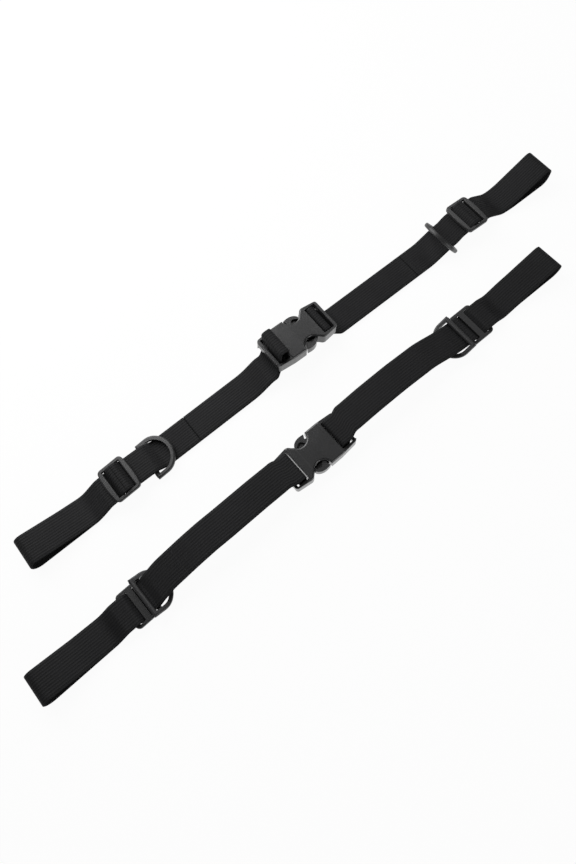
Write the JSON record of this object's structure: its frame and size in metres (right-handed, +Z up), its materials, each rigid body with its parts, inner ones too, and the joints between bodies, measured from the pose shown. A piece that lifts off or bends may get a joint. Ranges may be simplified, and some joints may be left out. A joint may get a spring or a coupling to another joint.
{
  "type": "webbing straps with side release buckles",
  "caption": "Pair of adjustable webbing straps joined by side release buckles, each with D-rings, three-bar slides and end loops.",
  "frame": {"origin": "bottom centre of the pair's bounding box, on the table the straps lie on", "axes": "+X along the first strap towards its socket half's loop, +Y across the straps towards the first one, +Z up"},
  "size_m": [0.5752, 0.122, 0.0303],
  "materials": {
    "webbing": "matte woven",
    "buckle_plastic": "fine satin moulding",
    "fitting_plastic": "satin moulding"
  },
  "bodies": {
    "strap1_socket_side": {"strap1_socket": "buckle_plastic", "strap1_socket_bar_loop": "webbing", "strap1_socket_run": "webbing", "strap1_socket_end_loop": "webbing"},
    "strap1_socket_ring": {"strap1_socket_ring": "fitting_plastic"},
    "strap1_socket_glide": {"strap1_socket_glide": "fitting_plastic"},
    "strap1_plug_side": {"strap1_plug": "buckle_plastic", "strap1_plug_bar_loop": "webbing", "strap1_plug_run": "webbing", "strap1_plug_end_loop": "webbing"},
    "strap1_plug_ring": {"strap1_plug_ring": "fitting_plastic"},
    "strap1_plug_glide": {"strap1_plug_glide": "fitting_plastic"},
    "strap1_latch_arm_left": {"strap1_latch_arm_left": "buckle_plastic"},
    "strap1_latch_arm_right": {"strap1_latch_arm_right": "buckle_plastic"},
    "strap2_socket_side": {"strap2_socket": "buckle_plastic", "strap2_socket_bar_loop": "webbing", "strap2_socket_run": "webbing", "strap2_socket_end_loop": "webbing"},
    "strap2_socket_ring": {"strap2_socket_ring": "fitting_plastic"},
    "strap2_socket_glide": {"strap2_socket_glide": "fitting_plastic"},
    "strap2_plug_side": {"strap2_plug": "buckle_plastic", "strap2_plug_bar_loop": "webbing", "strap2_plug_run": "webbing", "strap2_plug_end_loop": "webbing"},
    "strap2_plug_ring": {"strap2_plug_ring": "fitting_plastic"},
    "strap2_plug_glide": {"strap2_plug_glide": "fitting_plastic"},
    "strap2_latch_arm_left": {"strap2_latch_arm_left": "buckle_plastic"},
    "strap2_latch_arm_right": {"strap2_latch_arm_right": "buckle_plastic"}
  },
  "joints": [
    {"name": "strap2_lift", "type": "slide", "parent": "strap1_socket_side", "child": "strap2_socket_side", "axis": [0, 0, 1], "range_m": [0, 0.15]},
    {"name": "strap1_buckle", "type": "slide", "parent": "strap1_socket_side", "child": "strap1_plug_side", "axis": [-0.9969, 0, 0.0785], "range_m": [0, 0.05], "deforming": ["strap1_latch_arm_left", "strap1_latch_arm_right"]},
    {"name": "strap1_latch_left", "type": "hinge", "parent": "strap1_plug_side", "child": "strap1_latch_arm_left", "pos_m": [0.01196, 0.0543, 0.01325], "axis": [-0.0785, 0, -0.9969], "range_deg": [0, 8], "stiffness_Nm_per_rad": 0.3},
    {"name": "strap1_latch_right", "type": "hinge", "parent": "strap1_plug_side", "child": "strap1_latch_arm_right", "pos_m": [0.01196, 0.0349, 0.01325], "axis": [0.0785, 0, 0.9969], "range_deg": [0, 8], "stiffness_Nm_per_rad": 0.3},
    {"name": "strap1_socket_ring_turn", "type": "hinge", "parent": "strap1_socket_side", "child": "strap1_socket_ring", "pos_m": [0.17697, 0.03915, 0.0047], "axis": [0.007, 1, 0], "range_deg": [-40, 55]},
    {"name": "strap1_socket_glide_travel", "type": "slide", "parent": "strap1_socket_side", "child": "strap1_socket_glide", "axis": [0.9945, -0.0069, -0.1045], "range_m": [0, 0.03], "deforming": ["strap1_socket_run", "strap1_socket_end_loop"]},
    {"name": "strap1_plug_ring_turn", "type": "hinge", "parent": "strap1_plug_side", "child": "strap1_plug_ring", "pos_m": [-0.13073, 0.03905, 0.0035], "axis": [0.007, -1, 0], "range_deg": [0, 110]},
    {"name": "strap1_plug_glide_travel", "type": "slide", "parent": "strap1_plug_side", "child": "strap1_plug_glide", "axis": [-0.9962, -0.007, -0.0872], "range_m": [0, 0.03], "deforming": ["strap1_plug_run", "strap1_plug_end_loop"]},
    {"name": "strap2_buckle", "type": "slide", "parent": "strap2_socket_side", "child": "strap2_plug_side", "axis": [0.9996, 0.0297, 0], "range_m": [0, 0.05], "deforming": ["strap2_latch_arm_left", "strap2_latch_arm_right"]},
    {"name": "strap2_latch_left", "type": "hinge", "parent": "strap2_plug_side", "child": "strap2_latch_arm_left", "pos_m": [-0.01602, -0.0277, 0.00575], "axis": [0, 0, 1], "range_deg": [0, 8], "stiffness_Nm_per_rad": 0.3},
    {"name": "strap2_latch_right", "type": "hinge", "parent": "strap2_plug_side", "child": "strap2_latch_arm_right", "pos_m": [-0.01544, -0.04709, 0.00575], "axis": [0, 0, -1], "range_deg": [0, 8], "stiffness_Nm_per_rad": 0.3},
    {"name": "strap2_socket_ring_turn", "type": "hinge", "parent": "strap2_socket_side", "child": "strap2_socket_ring", "pos_m": [-0.19097, -0.04405, 0.0103], "axis": [-0.0436, 0.999, 0], "range_deg": [-5, 0]},
    {"name": "strap2_socket_glide_travel", "type": "slide", "parent": "strap2_socket_side", "child": "strap2_socket_glide", "axis": [-0.999, -0.0436, 0], "range_m": [0, 0.03], "deforming": ["strap2_socket_run", "strap2_socket_end_loop"]},
    {"name": "strap2_plug_ring_turn", "type": "hinge", "parent": "strap2_plug_side", "child": "strap2_plug_ring", "pos_m": [0.1247, -0.03541, 0.0103], "axis": [0.0105, -0.9999, 0], "range_deg": [-5, 60]},
    {"name": "strap2_plug_glide_travel", "type": "slide", "parent": "strap2_plug_side", "child": "strap2_plug_glide", "axis": [0.9999, 0.0105, 0], "range_m": [0, 0.03], "deforming": ["strap2_plug_run", "strap2_plug_end_loop"]}
  ]
}
